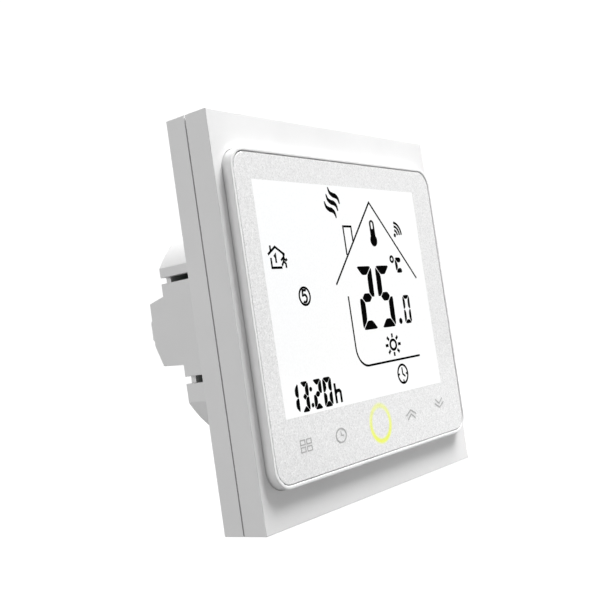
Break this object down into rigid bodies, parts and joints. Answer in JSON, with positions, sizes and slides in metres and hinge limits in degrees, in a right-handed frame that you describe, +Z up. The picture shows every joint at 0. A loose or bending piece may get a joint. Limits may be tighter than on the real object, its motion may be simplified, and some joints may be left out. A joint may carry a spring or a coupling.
{
  "type": "wall thermostat",
  "caption": "White square wall thermostat: a raised touch display unclips from a base with a round bucket for the wall box and screw terminals behind.",
  "frame": {"origin": "midway between the two wall box screws, on the wall plane at the back face of the base and its steel plate", "axes": "+X to the right as seen from the front, +Y into the wall, +Z up; the display faces -Y"},
  "size_m": [0.086, 0.0463, 0.086],
  "materials": {
    "white_shell": "white moulded ABS, semi-gloss",
    "white_inner": "white moulded ABS, satin",
    "touch_glass": "glass printed white with a fine silver speckle on its back",
    "lcd_glass": "white-lit liquid crystal cell",
    "clear_acrylic": "clear acrylic",
    "ring_light": "yellow-green light ring",
    "steel": "zinc-plated steel",
    "brass": "plated brass",
    "tin": "tinned metal",
    "circuit_board": "green solder mask on glass-fibre board",
    "black_plastic": "black moulded plastic",
    "grey_plastic": "dark grey moulded plastic",
    "blue_case": "blue relay case",
    "copper": "enamelled copper wire",
    "iron": "soft iron",
    "ferrite": "dark ferrite",
    "winding_tape": "yellow winding tape",
    "capacitor_sleeve": "dark sleeve",
    "film_case": "yellow film capacitor case",
    "varistor_coat": "blue epoxy coating",
    "fuse_body": "brown fuse body",
    "led": "small lights"
  },
  "bodies": {
    "wall_unit": {"rear_housing": "white_shell", "mounting_plate": "steel", "plate_screws": "steel", "bucket_cover": "white_inner", "cover_screws": "steel", "power_board": "circuit_board", "board_screws": "steel", "riser_board": "circuit_board", "link_socket": "black_plastic", "terminal_block": "grey_plastic", "terminal_bodies": "brass", "relay_base": "black_plastic", "relay_case": "blue_case", "relay_coil": "copper", "relay_yoke": "iron", "relay_contacts": "brass", "transformer_core": "ferrite", "transformer_winding": "winding_tape", "bulk_capacitor": "capacitor_sleeve", "filter_capacitor": "film_case", "varistor": "varistor_coat", "fuse": "fuse_body", "power_chips": "black_plastic"},
    "display_unit": {"front_frame": "white_shell", "panel_shell": "white_shell", "touch_glass": "touch_glass", "lcd_panel": "lcd_glass", "light_guide": "clear_acrylic", "lcd_tray": "white_inner", "led_bar": "led", "ring_light_guide": "ring_light", "ring_leds": "led", "touch_springs": "tin", "display_board": "circuit_board", "control_chip": "black_plastic", "radio_module": "tin", "temperature_sensor": "black_plastic", "pin_header": "black_plastic", "header_pins": "brass", "module_cover": "white_inner", "module_screws": "steel"},
    "relay_armature": {"relay_armature": "iron"},
    "clamp_1": {"clamp_plate_1": "brass"},
    "screw_1": {"terminal_screw_1": "steel"},
    "clamp_2": {"clamp_plate_2": "brass"},
    "screw_2": {"terminal_screw_2": "steel"},
    "clamp_3": {"clamp_plate_3": "brass"},
    "screw_3": {"terminal_screw_3": "steel"},
    "clamp_4": {"clamp_plate_4": "brass"},
    "screw_4": {"terminal_screw_4": "steel"},
    "clamp_5": {"clamp_plate_5": "brass"},
    "screw_5": {"terminal_screw_5": "steel"},
    "clamp_6": {"clamp_plate_6": "brass"},
    "screw_6": {"terminal_screw_6": "steel"}
  },
  "joints": [
    {"name": "display_pull_off", "type": "slide", "parent": "wall_unit", "child": "display_unit", "axis": [0, -1, 0], "range_m": [0, 0.014]},
    {"name": "relay_armature_rock", "type": "hinge", "parent": "wall_unit", "child": "relay_armature", "pos_m": [-0.012, 0.00565, 0.0148], "axis": [1, 0, 0], "range_deg": [0, 2.5], "stiffness_Nm_per_rad": 0.02, "springref_deg": -5.73},
    {"name": "screw_1_turn", "type": "hinge", "parent": "clamp_1", "child": "screw_1", "pos_m": [-0.018, 0.0264, -0.0034], "axis": [0, -1, 0], "range_deg": [0, 1080]},
    {"name": "clamp_1_lift", "type": "slide", "parent": "wall_unit", "child": "clamp_1", "axis": [0, 1, 0], "range_m": [0, 0.0015]},
    {"name": "screw_2_turn", "type": "hinge", "parent": "clamp_2", "child": "screw_2", "pos_m": [-0.0108, 0.0264, -0.0034], "axis": [0, -1, 0], "range_deg": [0, 1080]},
    {"name": "clamp_2_lift", "type": "slide", "parent": "wall_unit", "child": "clamp_2", "axis": [0, 1, 0], "range_m": [0, 0.0015]},
    {"name": "screw_3_turn", "type": "hinge", "parent": "clamp_3", "child": "screw_3", "pos_m": [-0.0036, 0.0264, -0.0034], "axis": [0, -1, 0], "range_deg": [0, 1080]},
    {"name": "clamp_3_lift", "type": "slide", "parent": "wall_unit", "child": "clamp_3", "axis": [0, 1, 0], "range_m": [0, 0.0015]},
    {"name": "screw_4_turn", "type": "hinge", "parent": "clamp_4", "child": "screw_4", "pos_m": [0.0036, 0.0264, -0.0034], "axis": [0, -1, 0], "range_deg": [0, 1080]},
    {"name": "clamp_4_lift", "type": "slide", "parent": "wall_unit", "child": "clamp_4", "axis": [0, 1, 0], "range_m": [0, 0.0015]},
    {"name": "screw_5_turn", "type": "hinge", "parent": "clamp_5", "child": "screw_5", "pos_m": [0.0108, 0.0264, -0.0034], "axis": [0, -1, 0], "range_deg": [0, 1080]},
    {"name": "clamp_5_lift", "type": "slide", "parent": "wall_unit", "child": "clamp_5", "axis": [0, 1, 0], "range_m": [0, 0.0015]},
    {"name": "screw_6_turn", "type": "hinge", "parent": "clamp_6", "child": "screw_6", "pos_m": [0.018, 0.0264, -0.0034], "axis": [0, -1, 0], "range_deg": [0, 1080]},
    {"name": "clamp_6_lift", "type": "slide", "parent": "wall_unit", "child": "clamp_6", "axis": [0, 1, 0], "range_m": [0, 0.0015]}
  ],
  "couplings": [
    {"joint": "screw_1_turn", "follows": "clamp_1_lift", "rad_per_m": 12566},
    {"joint": "screw_2_turn", "follows": "clamp_2_lift", "rad_per_m": 12566},
    {"joint": "screw_3_turn", "follows": "clamp_3_lift", "rad_per_m": 12566},
    {"joint": "screw_4_turn", "follows": "clamp_4_lift", "rad_per_m": 12566},
    {"joint": "screw_5_turn", "follows": "clamp_5_lift", "rad_per_m": 12566},
    {"joint": "screw_6_turn", "follows": "clamp_6_lift", "rad_per_m": 12566}
  ]
}
